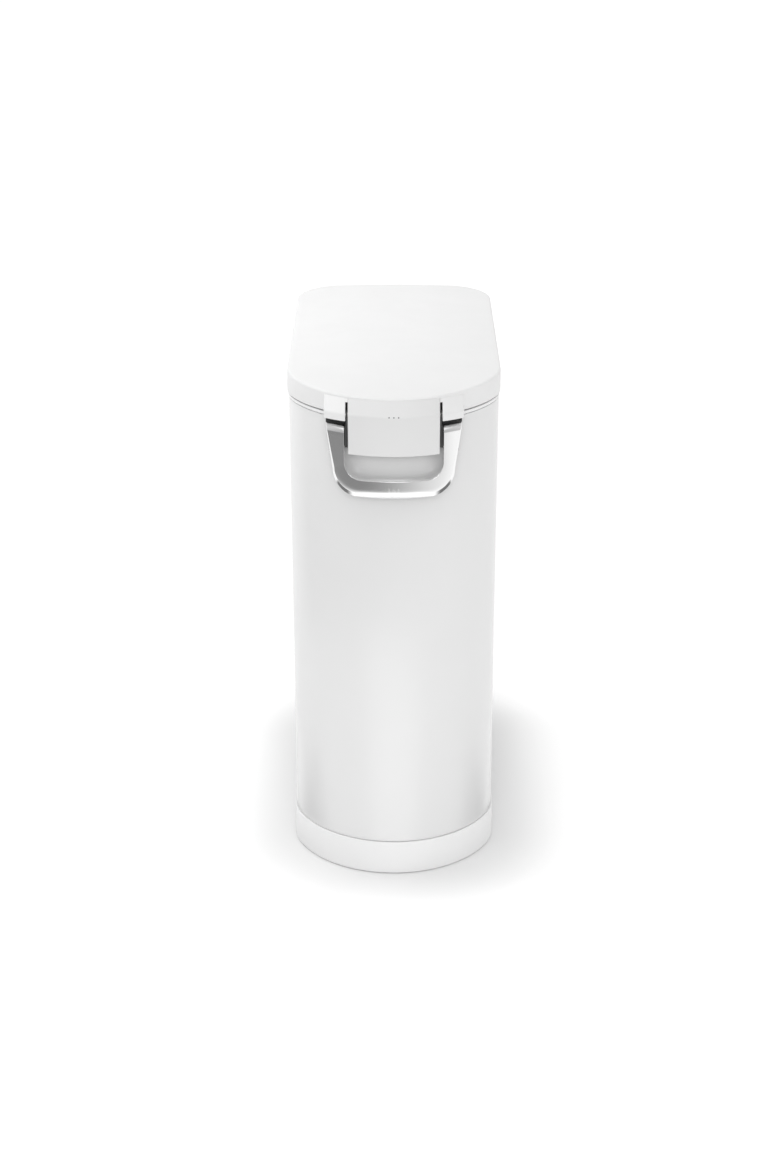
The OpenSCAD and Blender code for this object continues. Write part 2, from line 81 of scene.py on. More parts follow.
ARC_Y = FRONT_Y + FRONT_R
SIDE_X = HALF_W - SIDE_R
SIDE_BACK = math.sqrt((FRONT_R - SIDE_R) ** 2 - SIDE_X ** 2)
SIDE_Y = ARC_Y - SIDE_BACK
SIDE_TURN = math.degrees(math.atan2(SIDE_BACK, SIDE_X))
CORNER_X = HALF_W - CORNER_R
CORNER_BACK = math.sqrt((BOW_R - CORNER_R) ** 2 - CORNER_X ** 2)
CORNER_Y = REAR_Y - BOW_R + CORNER_BACK
CORNER_TURN = math.degrees(math.atan2(CORNER_BACK, CORNER_X))

# Lid: wall, gap over the collar, the fall of its top to the front, and the crown of its top.
LID_PROUD = lid_high.x - HALF_W
LID_WALL = 2.5 * MM
LID_EDGE = 3.2 * MM
LID_BOTTOM = collar_high.z + 0.8 * MM
LID_TOP = lid_high.z
LID_DROP = 5.5 * MM
LID_CROWN = 1.2 * MM
DROP_START = SIDE_Y + 50 * MM
DROP_LENGTH = DROP_START - FRONT_Y + LID_PROUD

# Latch: how far the cover and both ears stand out, the crease across them, and the cover's two screws.
REACH = FRONT_Y - cover_low.y
EAR_START = 56.9 * MM
EAR_END = 82.5 * MM
EAR_TOP = 639.8 * MM
BRIDGE_BOTTOM = 635 * MM
SHOULDER = 623.5 * MM
COVER_SCREW_X = 18 * MM
COVER_SCREW_Z = 626 * MM

# Bail: its back and face are proud of the body, and three dots sit on its lower bar.
BAIL_BACK = 9 * MM
BAIL_FACE = 18 * MM
DOT_PITCH = 5.6 * MM
BAR_DOTS_Z = 534.5 * MM


# ---- Plan of the can as a ring of stations ----

def arc_stations(cx, cy, radius, start, end, count):
    """Stations (centre, radius, direction) along an arc from start to end degrees, without its last point."""
    turns = [math.radians(start + (end - start) * i / count) for i in range(count)]
    return [(cx, cy, radius, math.cos(a), math.sin(a)) for a in turns]


def side_stations(side, y0, y1, count):
    """Stations along a flat side, without the last point; side is 1 on the right and -1 on the left."""
    steps = [y0 + (y1 - y0) * i / count for i in range(count)]
    return [(side * SIDE_X, y, SIDE_R, side, 0) for y in steps]


STATIONS = (
    arc_stations(SIDE_X, SIDE_Y, SIDE_R, -SIDE_TURN, 0, 10)
    + side_stations(1, SIDE_Y, CORNER_Y, 20)
    + arc_stations(CORNER_X, CORNER_Y, CORNER_R, 0, CORNER_TURN, 18)
    + arc_stations(0, REAR_Y - BOW_R, BOW_R, CORNER_TURN, 180 - CORNER_TURN, 16)
    + arc_stations(-CORNER_X, CORNER_Y, CORNER_R, 180 - CORNER_TURN, 180, 18)
    + side_stations(-1, CORNER_Y, SIDE_Y, 20)
    + arc_stations(-SIDE_X, SIDE_Y, SIDE_R, 180, 180 + SIDE_TURN, 10)
    + arc_stations(0, ARC_Y, FRONT_R, 180 + SIDE_TURN, 360 - SIDE_TURN, 72)
)


def plan_ring(proud, height):
    """The can's outline moved outwards by proud, at a height that is a number or a function of y."""
    ring = []
    for cx, cy, radius, ux, uy in STATIONS:
        x, y = cx + (radius + proud) * ux, cy + (radius + proud) * uy
        ring.append(Vector((x, y, height(y) if callable(height) else height)))
    return ring


def toward_spine(ring, share, height):
    """A ring moved by share of the way to the line down the middle of the plan."""
    moved = []
    for p in ring:
        target = min(max(p.y, ARC_Y), CORNER_Y)
        x, y = p.x * (1 - share), p.y + (target - p.y) * share
        moved.append(Vector((x, y, height(y, share))))
    return moved


def front_at(x, proud):
    """Depth of a point x from the centre line, proud of the bowed front."""
    return ARC_Y - math.sqrt((FRONT_R + proud) ** 2 - x * x)


# ---- Mesh helpers ----

def rounded(corners, steps=5):
    """A closed outline from (u, v, radius) corners, each radius drawn as an arc."""
    points = []
    for i, (u, v, radius) in enumerate(corners):
        here = Vector((u, v))
        if radius == 0:
            points.append(here)
            continue
        before, after = Vector(corners[i - 1][:2]), Vector(corners[(i + 1) % len(corners)][:2])
        a, b = (before - here).normalized(), (after - here).normalized()
        half = a.angle(b) / 2
        reach = radius / math.tan(half)
        centre = here + (a + b).normalized() * (radius / math.sin(half))
        first, last = here + a * reach - centre, here + b * reach - centre
        sweep = first.angle(last)
        weight = math.sin(sweep)
        for k in range(steps + 1):
            t = k / steps
            points.append(centre + (first * math.sin((1 - t) * sweep) + last * math.sin(t * sweep)) / weight)
    return points


def inset(points, distance):
    """A closed outline moved inwards by distance, whichever way round it is drawn."""
    least_stretch = 0.5
    area = sum(a.x * b.y - b.x * a.y for a, b in zip(points, points[1:] + points[:1]))
    turn = 1 if area > 0 else -1
    moved = []
    for i, p in enumerate(points):
        a = (p - points[i - 1]).normalized()
        b = (points[(i + 1) % len(points)] - p).normalized()
        normal = Vector((-(a.y + b.y), a.x + b.x)).normalized() * turn
        stretch = max(least_stretch, normal.dot(Vector((-b.y, b.x)) * turn))
        moved.append(p + normal * distance / stretch)
    return moved


def new_bmesh_rings(rings, closed, caps):
    """A bmesh skinned over rings; closed joins the last ring to the first, and caps fills both ends."""
    same_place, no_length = 1e-7, 1e-8
    bm = bmesh.new()
    loops = [[bm.verts.new(p) for p in ring] for ring in rings]
    pairs = list(zip(loops, loops[1:]))
    if closed:
        pairs.append((loops[-1], loops[0]))
    for one, two in pairs:
        for i in range(len(one)):
            j = (i + 1) % len(one)
            bm.faces.new((one[i], one[j], two[j], two[i]))
    if caps:
        bm.faces.new(loops[0])
        bm.faces.new(loops[-1])
    bmesh.ops.remove_doubles(bm, verts=bm.verts, dist=same_place)
    bmesh.ops.dissolve_degenerate(bm, edges=bm.edges, dist=no_length)
    bmesh.ops.recalc_face_normals(bm, faces=bm.faces)
    return bm


def mesh_piece(name, bm):
    """A new object from a bmesh, in the scene but not yet riding on a body."""
    mesh = bpy.data.meshes.new(name)
    bm.to_mesh(mesh)
    bm.free()
    piece = bpy.data.objects.new(name, mesh)
    bpy.context.scene.collection.objects.link(piece)
    return piece


def skin(name, rings, closed=True, caps=False):
    """A new object skinned over rings."""
    return mesh_piece(name, new_bmesh_rings(rings, closed, caps))


def across(outline, x0, x1, edge, count=24):
    """Rings of a (proud, z) outline swept across the bowed front from x0 to x1, its ends rounded by edge."""
    steps = 5
    ends = [math.radians(90 * k / steps) for k in range(steps, -1, -1)]
    places = [(x0 + edge - edge * math.sin(a), edge * (1 - math.cos(a))) for a in ends]
    places += [(x0 + edge + (x1 - x0 - 2 * edge) * i / count, 0) for i in range(1, count)]
    places += [(x1 - edge + edge * math.sin(a), edge * (1 - math.cos(a))) for a in reversed(ends)]
    rings = []
    for x, depth in places:
        flat = inset(outline, depth) if depth > 0 else outline
        rings.append([Vector((x, front_at(x, p.x), p.y)) for p in flat])
    return rings


def solid_across(name, outline, x0, x1, edge, count=24):
    """A closed solid of a (proud, z) outline swept across the bowed front."""
    return skin(name, across(outline, x0, x1, edge, count), closed=False, caps=True)


def block(name, x0, x1, y0, y1, z0, z1):
    """A plain box."""
    low = [Vector(p) for p in ((x0, y0, z0), (x1, y0, z0), (x1, y1, z0), (x0, y1, z0))]
    high = [Vector((p.x, p.y, z1)) for p in low]
    return skin(name, [low, high], closed=False, caps=True)


def rod(name, radius, start, end, count=40):
    """A round bar between two points that differ along one axis."""
    line = end - start
    side = line.orthogonal().normalized()
    up = line.cross(side).normalized()
    turns = [math.tau * i / count for i in range(count)]
    circle = [side * math.cos(a) * radius + up * math.sin(a) * radius for a in turns]
    return skin(name, [[start + c for c in circle], [end + c for c in circle]], closed=False, caps=True)


def prism_x(name, points, x0, x1):
    """A bar along X whose section is drawn in (y, z)."""
    rings = [[Vector((x, y, z)) for y, z in points] for x in (x0, x1)]
    return skin(name, rings, closed=False, caps=True)


def upright(radius, x, y, z0, z1, count=32):
    """A tool that is a rod along Z."""
    return rod("tool", radius, Vector((x, y, z0)), Vector((x, y, z1)), count)


def forward(radius, x, z, proud0, proud1, count=32):
    """A tool that is a rod along Y between two distances proud of the bowed front."""
    start, end = (Vector((x, front_at(x, proud), z)) for proud in (proud0, proud1))
    return rod("tool", radius, start, end, count)


def crosswise(radius, x0, x1, y, z, count=40):
    """A tool that is a rod along X."""
    return rod("tool", radius, Vector((x0, y, z)), Vector((x1, y, z)), count)


def combine(piece, tool, operation):
    """Joins tool to piece or cuts it away, and removes the tool."""
    modifier = piece.modifiers.new("combine", "BOOLEAN")
    modifier.operation = operation
    modifier.solver = "MANIFOLD"
    modifier.object = tool
    graph = bpy.context.evaluated_depsgraph_get()
    made = bpy.data.meshes.new_from_object(piece.evaluated_get(graph))
    piece.modifiers.clear()
    piece.data = made
    bpy.data.objects.remove(tool)


def shade(piece, degrees=34):
    """Smooth shading with sharp edges where faces meet at more than the given angle."""
    piece.data.polygons.foreach_set("use_smooth", [True] * len(piece.data.polygons))
    piece.data.set_sharp_from_angle(angle=math.radians(degrees))


def finish_piece(piece, body, slot, *nodes):
    """Puts a modelled piece on its body, in its material slot, in place of its CAD nodes."""
    shade(piece)
    piece.data.materials.clear()
    piece.data.materials.append(MATERIALS[slot])
    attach(piece, body)
    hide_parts(*nodes)


def three_holes(piece, radius, z, proud, depth):
    """Three small round holes beside each other, drilled to a depth below a surface proud of the body."""
    for x in (-DOT_PITCH, 0, DOT_PITCH):
        combine(piece, forward(radius, x, z, proud + 1 * MM, proud - depth, 24), "DIFFERENCE")


def three_painted_plugs(name, body, slot, radius, z, proud, length):
    """One piece of three small round plugs that stand in such holes, from proud of the body inwards. Their
    colour paints the holes' shade or highlight.
    """
    plugs = [forward(radius, x, z, proud, proud - length, 24) for x in (0, -DOT_PITCH, DOT_PITCH)]
    plugs[0].name = name
    for plug in plugs[1:]:
        combine(plugs[0], plug, "UNION")
    finish_piece(plugs[0], body, slot)


# ---- Materials ----

# The part of a noise texture's 0 to 1 range that most of its values fall in.
NOISE_SPAN = (0.3, 0.7)


def surface(name, colour, roughness, **sockets):
    """A node material with a Principled shader; sockets are its other inputs by name."""
    material = bpy.data.materials.new(name)
    material.use_nodes = True
    nodes = material.node_tree.nodes
    shader = nodes["Principled BSDF"]
    shader.inputs["Base Color"].default_value = (*colour, 1)
    shader.inputs["Roughness"].default_value = roughness
    for key, value in sockets.items():
        shader.inputs[key.replace("_", " ")].default_value = value
    return material


def noise(material, scale, detail=2.0, stretch=(1, 1, 1)):
    """A noise texture on object coordinates, in metres, squeezed by stretch."""
    tree = material.node_tree
    place = tree.nodes.new("ShaderNodeTexCoord")
    mapping = tree.nodes.new("ShaderNodeMapping")
    mapping.inputs["Scale"].default_value = stretch
    texture = tree.nodes.new("ShaderNodeTexNoise")
    texture.inputs["Scale"].default_value = scale
    texture.inputs["Detail"].default_value = detail
    tree.links.new(place.outputs["Object"], mapping.inputs["Vector"])
    tree.links.new(mapping.outputs["Vector"], texture.inputs["Vector"])
    return texture.outputs["Fac"]


def tint(material, source, dark, light):
    """Base colour that drifts between two near colours."""
    tree = material.node_tree
    ramp = tree.nodes.new("ShaderNodeValToRGB")
    for stop, position, colour in zip(ramp.color_ramp.elements, NOISE_SPAN, (dark, light)):
        stop.position = position
        stop.color = (*colour, 1)
    tree.links.new(source, ramp.inputs["Fac"])
    tree.links.new(ramp.outputs["Color"], tree.nodes["Principled BSDF"].inputs["Base Color"])


def vary_roughness(material, source, low, high):
    """Roughness that drifts between two values."""
    tree = material.node_tree
    spread = tree.nodes.new("ShaderNodeMapRange")
    spread.inputs["From Min"].default_value, spread.inputs["From Max"].default_value = NOISE_SPAN
    spread.inputs["To Min"].default_value = low
    spread.inputs["To Max"].default_value = high
    tree.links.new(source, spread.inputs["Value"])
    tree.links.new(spread.outputs["Result"], tree.nodes["Principled BSDF"].inputs["Roughness"])


def relief(material, source, depth):
    """Fine bump; depth is the real height of the texture in metres."""
    tree = material.node_tree
    bump = tree.nodes.new("ShaderNodeBump")
    bump.inputs["Strength"].default_value = 1.0
    bump.inputs["Distance"].default_value = depth
    tree.links.new(source, bump.inputs["Height"])
    tree.links.new(bump.outputs["Normal"], tree.nodes["Principled BSDF"].inputs["Normal"])


def textured(name, grey, roughness, grain, depth, drift=0.008, stretch=(1, 1, 1), warm=0.0, **sockets):
    """A near-grey material with slow colour drift, patchy roughness and a fine grain of real depth."""
    drift_scale, patch_scale, patch_detail, grain_detail, patchiness = 14, 60, 3, 2, 0.08
    colour = (grey + warm, grey, grey - warm)
    material = surface(name, colour, roughness, **sockets)
    darker = tuple(max(0.0, c - drift) for c in colour)
    lighter = tuple(min(1.0, c + drift) for c in colour)
    tint(material, noise(material, drift_scale), darker, lighter)
    patches = noise(material, patch_scale, patch_detail, stretch)
    vary_roughness(material, patches, roughness * (1 - patchiness), roughness * (1 + patchiness))
    relief(material, noise(material, grain, grain_detail, stretch), depth)
    return material


def make_materials():
    """One material for each slot of the record: (grey, roughness, grain per metre, depth of grain)."""
    micron = 1e-6
    brushed, rolled = (0.05, 1, 1), (1, 1, 0.1)
    return {
        "body_paint": textured("body_paint", 0.68, 0.30, 260, 5 * micron, 0.005,
                               Coat_Weight=0.5, Coat_Roughness=0.16),
        "base_plastic": textured("base_plastic", 0.76, 0.44, 1500, 7 * micron),
        "lid_plastic": textured("lid_plastic", 0.71, 0.36, 1500, 6 * micron),
        # Painted shade: cover_plastic is a darker grey than the lid's plastic, for the shade on the cover's
        # front.
        "cover_plastic": textured("cover_plastic", 0.64, 0.42, 1700, 8 * micron),
        "hinge_paint": textured("hinge_paint", 0.72, 0.38, 700, 8 * micron),
        "chrome": textured("chrome", 0.87, 0.10, 900, 1.2 * micron, 0.006, brushed, Metallic=1.0),
        "black_steel": textured("black_steel", 0.030, 0.42, 1200, 9 * micron, 0.006),
        "bare_steel": textured("bare_steel", 0.62, 0.30, 900, 4 * micron, 0.03, rolled, Metallic=1.0),
        "bucket_plastic": textured("bucket_plastic", 0.46, 0.45, 1300, 12 * micron),
        "silicone": textured("silicone", 0.10, 0.60, 1100, 10 * micron),
        "foot_rubber": textured("foot_rubber", 0.045, 0.75, 1300, 20 * micron, 0.01),
        "roller_plastic": textured("roller_plastic", 0.28, 0.50, 1300, 12 * micron),
        # Painted shade: dark_plastic is made near-black so that the parts in its slot behind the latch's
        # slots, and the cover's plugs, read as shade.
        "dark_plastic": textured("dark_plastic", 0.020, 0.60, 1300, 12 * micron, 0.008),
        "nylon": textured("nylon", 0.70, 0.45, 1500, 8 * micron, warm=0.04),
    }


MATERIALS = make_materials()


# ---- Painted body, collar, plinth ----

def build_body():
    """The painted steel tube."""
    sheet, edge = 0.8 * MM, 0.3 * MM
    outline = rounded([(0, body_low.z, edge), (0, body_high.z, edge),
                       (-sheet, body_high.z, edge), (-sheet, body_low.z, edge)], 2)
    piece = skin("body_skin", [plan_ring(p.x, p.y) for p in outline])
    finish_piece(piece, "can", "body_paint", "body_shell")


def build_collar():
    """A ring on the body's rim: a visible band, a ledge for the bucket and a skirt inside the body."""
    top, foot = collar_high.z, collar_low.z
    seat, ledge = top - 4.2 * MM, top - 10 * MM
    under, lip, groove = ledge - 2 * MM, seat + 0.4 * MM, seat - 1.4 * MM
    band, root, rim, web, shelf = 0.5 * MM, -2.6 * MM, -7 * MM, -5 * MM, -13 * MM
    skirt_out, skirt_in = -1.1 * MM, -3.3 * MM
    outline = rounded([
        (band, lip, 0.5 * MM), (band, top, 1.1 * MM), (rim, top, 0.8 * MM), (rim, ledge, 0.5 * MM),
        (shelf, ledge, 0.6 * MM), (shelf, under, 0.6 * MM), (web, under, 0.4 * MM), (web, seat, 0.4 * MM),
        (skirt_in, seat, 0.4 * MM), (skirt_in, foot, 0.5 * MM), (skirt_out, foot, 0.5 * MM),
        (skirt_out, seat - 2 * MM, 0.3 * MM), (root, groove, 0.2 * MM), (root, lip, 0.2 * MM)], 3)
    piece = skin("collar_skin", [plan_ring(p.x, p.y) for p in outline])
    finish_piece(piece, "can", "base_plastic", "collar")


def cut_wheel_bays(piece):
    """Walls round the two rear rollers, their bays, the axle's bore and the sloping rear edge."""
    room, gap, shell = 3 * MM, 1 * MM, 4 * MM
    wall_front, wall_back = wheel_low.y - 6 * MM, REAR_Y - 2.1 * MM
    for side in (-1, 1):
        low, high = sorted((side * wheel_low.x, side * wheel_high.x))
        wall = block("wall", low - shell, high + shell, wall_front, wall_back,
                     plinth_low.z, plinth_high.z - 0.5 * MM)
        combine(piece, wall, "UNION")
        bay = block("bay", low - gap, high + gap, wheel_low.y - room, REAR_Y + 20 * MM,
                    -1 * MM, wheel_high.z + room)
        combine(piece, bay, "DIFFERENCE")
    bore, play = 3.05 * MM, 0.5 * MM
    combine(piece, crosswise(bore, axle_low.x - play, axle_high.x + play, AXLE.y, AXLE.z), "DIFFERENCE")
    start, far, below = AXLE.y + 4.8 * MM, REAR_Y + 60 * MM, 10 * MM
    slope = [(start - below, -below), (far, -below), (far, far - start)]
    combine(piece, prism_x("slope", slope, -1.2 * HALF_W, 1.2 * HALF_W), "DIFFERENCE")


def build_plinth():
    """A hollow base: wall, deck, ribs under the deck, bosses with sockets for the feet, and roller bays."""
    proud, top, bottom = plinth_high.x - HALF_W, plinth_high.z, plinth_low.z
    thick = 3 * MM
    inside, deck = proud - thick, top - thick
    wall = rounded([(proud, bottom, 1.0 * MM), (proud, top, 1.2 * MM), (inside, top, 0),
                    (inside, bottom, 0.8 * MM)], 4)
    piece = skin("plinth_skin", [plan_ring(p.x, p.y) for p in wall])
    deck_edge = proud - thick / 2
    plate = skin("deck", [plan_ring(deck_edge, deck), plan_ring(deck_edge, top - 0.01 * MM)],
                 closed=False, caps=True)
    combine(piece, plate, "UNION")
    rib, rib_top, rib_half = 37.5 * MM, top - 1 * MM, 1 * MM
    for x in (-34 * MM, 34 * MM):
        combine(piece, block("rib", x - rib_half, x + rib_half, FRONT_Y + 20 * MM, wheel_low.y - 22 * MM,
                             rib, rib_top), "UNION")
    rib_end = HALF_W - 1 * MM
    for y in (SIDE_Y + 34 * MM, 0, CORNER_Y - 70 * MM):
        combine(piece, block("rib", -rib_end, rib_end, y - rib_half, y + rib_half, rib, rib_top), "UNION")
    boss_r, socket_r, socket_depth = 14 * MM, 11.15 * MM, 2.5 * MM
    for side in (-1, 1):
        for x, y in ((side * 74 * MM, SIDE_Y + 4 * MM), (side * 78 * MM, CORNER_Y - 40 * MM)):
            combine(piece, upright(boss_r, x, y, bottom, rib_top, 48), "UNION")
            combine(piece, upright(socket_r, x, y, bottom - 1 * MM, bottom + socket_depth, 48), "DIFFERENCE")
    cut_wheel_bays(piece)
    finish_piece(piece, "can", "base_plastic", "plinth")


# ---- Lid ----

def lid_line(y):
    """Height of the lid's top along the middle: level at the rear, falling slowly to the front."""
    return LID_TOP - LID_DROP * (max(0.0, DROP_START - y) / DROP_LENGTH) ** 2


def lid_shell_rings():
    """Rings from the liner side of the lid's top, down inside the wall, up outside it and over the top."""
    def level(below):
        return lambda y: lid_line(y) - LID_CROWN - below

    def top(below):
        return lambda y, share: lid_line(y) - LID_CROWN * (1 - share) ** 2 - below

    inner, bevel, lip_r, steps = LID_PROUD - LID_WALL, 1 * MM, 0.5 * MM, 6
    rim = plan_ring(LID_PROUD - LID_EDGE, 0)
    inner_rim = plan_ring(inner - bevel, 0)
    shares = [0.04, 0.1, 0.2, 0.35, 0.55, 0.75, 0.9, 1.0]
    rings = [toward_spine(inner_rim, s, top(LID_WALL)) for s in reversed(shares)]
    rings += [plan_ring(inner - bevel, level(LID_WALL)), plan_ring(inner, level(LID_WALL + bevel))]
    lip = LID_BOTTOM + 1.2 * MM
    rings += [plan_ring(inner, lip + lip_r), plan_ring(inner + lip_r, lip),
              plan_ring(LID_PROUD - lip_r, lip), plan_ring(LID_PROUD - 0.3 * lip_r, lip + 0.3 * lip_r),
              plan_ring(LID_PROUD, lip + lip_r)]
    for k in range(steps + 1):
        a = math.radians(90 * k / steps)
        rings.append(plan_ring(LID_PROUD - LID_EDGE * (1 - math.cos(a)), level(LID_EDGE * (1 - math.sin(a)))))
    rings += [toward_spine(rim, s, top(0)) for s in shares]
    return rings


def build_lid():
    """The lid's shell, its two ears, and the narrow bridge of the same slope above each slot."""
    piece = skin("lid_skin", lid_shell_rings(), closed=False)
    bottom, root = lid_low.z, LID_BOTTOM + 1 * MM
    back, heel, crest, belly = 0.2 * MM, 0.9 * MM, 0.6 * MM, 5.2 * MM
    ear = rounded([
        (heel, bottom, 0.3 * MM), (REACH, bottom, 1.5 * MM), (REACH, SHOULDER + 1 * MM, 5 * MM),
        (crest, EAR_TOP, 0), (back, EAR_TOP, 0), (back, root, 0), (heel, root, 0)], 6)
    bridge = [Vector((back, BRIDGE_BOTTOM)), Vector((belly, BRIDGE_BOTTOM)),
              Vector((crest, EAR_TOP)), Vector((back, EAR_TOP))]
    bushing_r, bore_end = 3.62 * MM, 64 * MM
    for side in (-1, 1):
        for name, outline, inner, outer, edge in (
                ("ear", ear, EAR_START, EAR_END, 1.2 * MM),
                ("bridge", bridge, cover_high.x + 0.1 * MM, EAR_START + 1.5 * MM, 0.05 * MM)):
            x0, x1 = sorted((side * inner, side * outer))
            combine(piece, solid_across(name, outline, x0, x1, edge), "UNION")
        bore = sorted((side * (EAR_START - 1 * MM), side * bore_end))
        combine(piece, crosswise(bushing_r, *bore, PIVOT.y, PIVOT.z), "DIFFERENCE")
    finish_piece(piece, "lid", "lid_plastic", "lid_shell")


def build_liner():
    """The lid's inner moulding: a plate, two ribs that hold the seal, and a skirt inside the collar."""
    under, back = liner_high.z - 2.5 * MM, liner_high.z
    rib, skirt, sunk = collar_high.z + 1.2 * MM, liner_low.z, under + 0.7 * MM
    rim, seal_out, seal_in, rib_in = -1.3 * MM, -2.2 * MM, -5.8 * MM, -7.2 * MM
    skirt_out, skirt_in, step_out, step_in, middle = -8.6 * MM, -10.6 * MM, -26 * MM, -27.5 * MM, -30 * MM
    profile = rounded([
        (middle, back, 0), (rim, back, 0.5 * MM), (rim, rib, 0.3 * MM), (seal_out, rib, 0.3 * MM),
        (seal_out, under, 0.2 * MM), (seal_in, under, 0.2 * MM), (seal_in, rib, 0.4 * MM),
        (rib_in, rib, 0.4 * MM), (rib_in, under, 0.4 * MM), (skirt_out, under, 0.4 * MM),
        (skirt_out, skirt, 0.8 * MM), (skirt_in, skirt, 0.8 * MM), (skirt_in, under, 1.2 * MM),
        (step_out, under, 0.8 * MM), (step_in, sunk, 0.8 * MM), (middle, sunk, 0)], 4)
    piece = skin("liner_skin", [plan_ring(p.x, p.y) for p in profile], closed=False, caps=True)
    screw_r = 1.75 * MM
    spots = [(0, FRONT_Y + 45 * MM)]
    for x, y in ((88 * MM, SIDE_Y + 40 * MM), (92 * MM, 40 * MM), (60 * MM, CORNER_Y + 10 * MM)):
        spots += [(x, y), (-x, y)]
    for x, y in spots:
        combine(piece, upright(screw_r, x, y, under - 2 * MM, back + 2 * MM), "DIFFERENCE")
    pocket_half, pocket_low = 3.3 * MM, COVER_SCREW_Z - 3.2 * MM
    for x in (-COVER_SCREW_X, COVER_SCREW_X):
        pocket = block("pocket", x - pocket_half, x + pocket_half, FRONT_Y, front_at(x, -5 * MM),
                       pocket_low, back + 1 * MM)
        combine(piece, pocket, "DIFFERENCE")
    finish_piece(piece, "lid", "bucket_plastic", "lid_liner")


# ---- Latch cover ----

def build_cover():
    """A hollow moulding with ribs behind its face and two screw bosses, open at the back and below."""
    half, bottom, top = cover_high.x, cover_low.z, cover_high.z
    wall, edge = 2.4 * MM, 1.2 * MM
    heel, seat, step, crest = 2.6 * MM, 1.75 * MM, 618 * MM, 2.2 * MM
    outline = rounded([
        (heel, bottom, 0.8 * MM), (REACH, bottom, 1.4 * MM), (REACH, SHOULDER, 5 * MM),
        (crest, top, 0.2 * MM), (seat, top, 0), (seat, step, 0), (heel, step, 0)], 6)
    piece = solid_across("latch_cover_skin", outline, -half, half, edge, 48)
    hollow_face, hollow_top, hollow_below = REACH - wall, top - 4.2 * MM, bottom - 5 * MM
    hollow = rounded([
        (0, hollow_below, 0), (hollow_face, hollow_below, 0), (hollow_face, SHOULDER - 1 * MM, 2.5 * MM),
        (3.6 * MM, hollow_top, 0.4 * MM), (0, hollow_top, 0)], 4)
    combine(piece, solid_across("hollow", hollow, wall - half, half - wall, 0.8 * MM, 40), "DIFFERENCE")
    rib_back, rib_face, rib_low, rib_high, rib_half = 12 * MM, 16 * MM, bottom + 3 * MM, 616 * MM, 0.8 * MM
    rib = rounded([(rib_back, rib_low, 0.5 * MM), (rib_face, rib_low, 0), (rib_face, rib_high, 0),
                   (rib_back, rib_high, 0.5 * MM)], 2)
    for x in (-36 * MM, -12 * MM, 12 * MM, 36 * MM):
        combine(piece, solid_across("rib", rib, x - rib_half, x + rib_half, 0.2 * MM, 2), "UNION")
    boss_r, boss_front, boss_back, hole_r, hole_end = 3.2 * MM, 10.2 * MM, 4.3 * MM, 1.55 * MM, 8.6 * MM
    for x in (-COVER_SCREW_X, COVER_SCREW_X):
        combine(piece, forward(boss_r, x, COVER_SCREW_Z, boss_front, boss_back), "UNION")
        combine(piece, forward(hole_r, x, COVER_SCREW_Z, hole_end, 0), "DIFFERENCE")
    pin_hole_r, pin_hole_half = 3.1 * MM, 5 * MM
    for side in (-1, 1):
        ends = sorted((side * (half - pin_hole_half), side * (half + pin_hole_half)))
        combine(piece, crosswise(pin_hole_r, *ends, PIVOT.y, PIVOT.z), "DIFFERENCE")
    three_holes(piece, 0.7 * MM, SHOULDER, REACH, 5 * MM)
    finish_piece(piece, "lid", "cover_plastic", "latch_cover")
    # Painted shade: dark plugs in the three holes stand for the shade inside the cover's dimples.
    three_painted_plugs("cover_shade_plugs", "lid", "dark_plastic", 0.75 * MM, SHOULDER, REACH - 0.4 * MM, 1.6 * MM)


# ---- Bail ----

def bail_stations():
    """Stations of the bail from the top of its right arm to the middle of its lower bar.

    A station is (outer x, outer z, inner x, inner z, front, chamfer width, chamfer depth).
    """
    top, bottom, end_r, inner_r = bail_high.z, bail_low.z, 7.2 * MM, 20 * MM
    top_half, inner_half, inner_bottom = 80.3 * MM, 58.6 * MM, 544.3 * MM
    corner_x, corner_w, corner_h = 44 * MM, 28.5 * MM, 32 * MM
    corner_z, arm_end, inner_end = bottom + corner_h, corner_x + corner_w, inner_bottom + inner_r
    arm_top = top - end_r
    tip_wide, tip_deep, arm_wide, arm_deep = 1.2 * MM, 1.0 * MM, 2.8 * MM, 2.2 * MM
    bar_wide, bar_deep = 6.6 * MM, 4.6 * MM
    tip_steps, arm_steps, corner_steps, bar_steps = 6, 12, 18, 12

    def arm_x(z):
        return top_half + (arm_end - top_half) * (top - z) / (top - corner_z)

    found = []
    for k in range(tip_steps, -1, -1):
        a = math.radians(90 * k / tip_steps)
        z = arm_top + end_r * math.sin(a)
        front = BAIL_FACE - end_r + end_r * math.cos(a)
        found.append((arm_x(z), z, inner_half, z, front, tip_wide, tip_deep))
    for k in range(1, arm_steps + 1):
        t = k / arm_steps
        z_out = arm_top + (corner_z - arm_top) * t
        z_in = arm_top + (inner_end - arm_top) * t
        wide = tip_wide + (arm_wide - tip_wide) * t * t
        deep = tip_deep + (arm_deep - tip_deep) * t
        found.append((arm_x(z_out), z_out, inner_half, z_in, BAIL_FACE, wide, deep))
    for k in range(1, corner_steps + 1):
        a = math.pi / 2 * k / corner_steps
        x_out, z_out = corner_x + corner_w * math.cos(a), corner_z - corner_h * math.sin(a)
        x_in, z_in = inner_half - inner_r + inner_r * math.cos(a), inner_end - inner_r * math.sin(a)
        wide = arm_wide + (bar_wide - arm_wide) * math.sin(a) ** 1.5
        deep = arm_deep + (bar_deep - arm_deep) * math.sin(a)
        found.append((x_out, z_out, x_in, z_in, BAIL_FACE, wide, deep))
    for k in range(bar_steps - 1, -1, -1):
        t = k / bar_steps
        found.append((corner_x * t, bottom, (inner_half - inner_r) * t, inner_bottom, BAIL_FACE,
                      bar_wide, bar_deep))
    return found


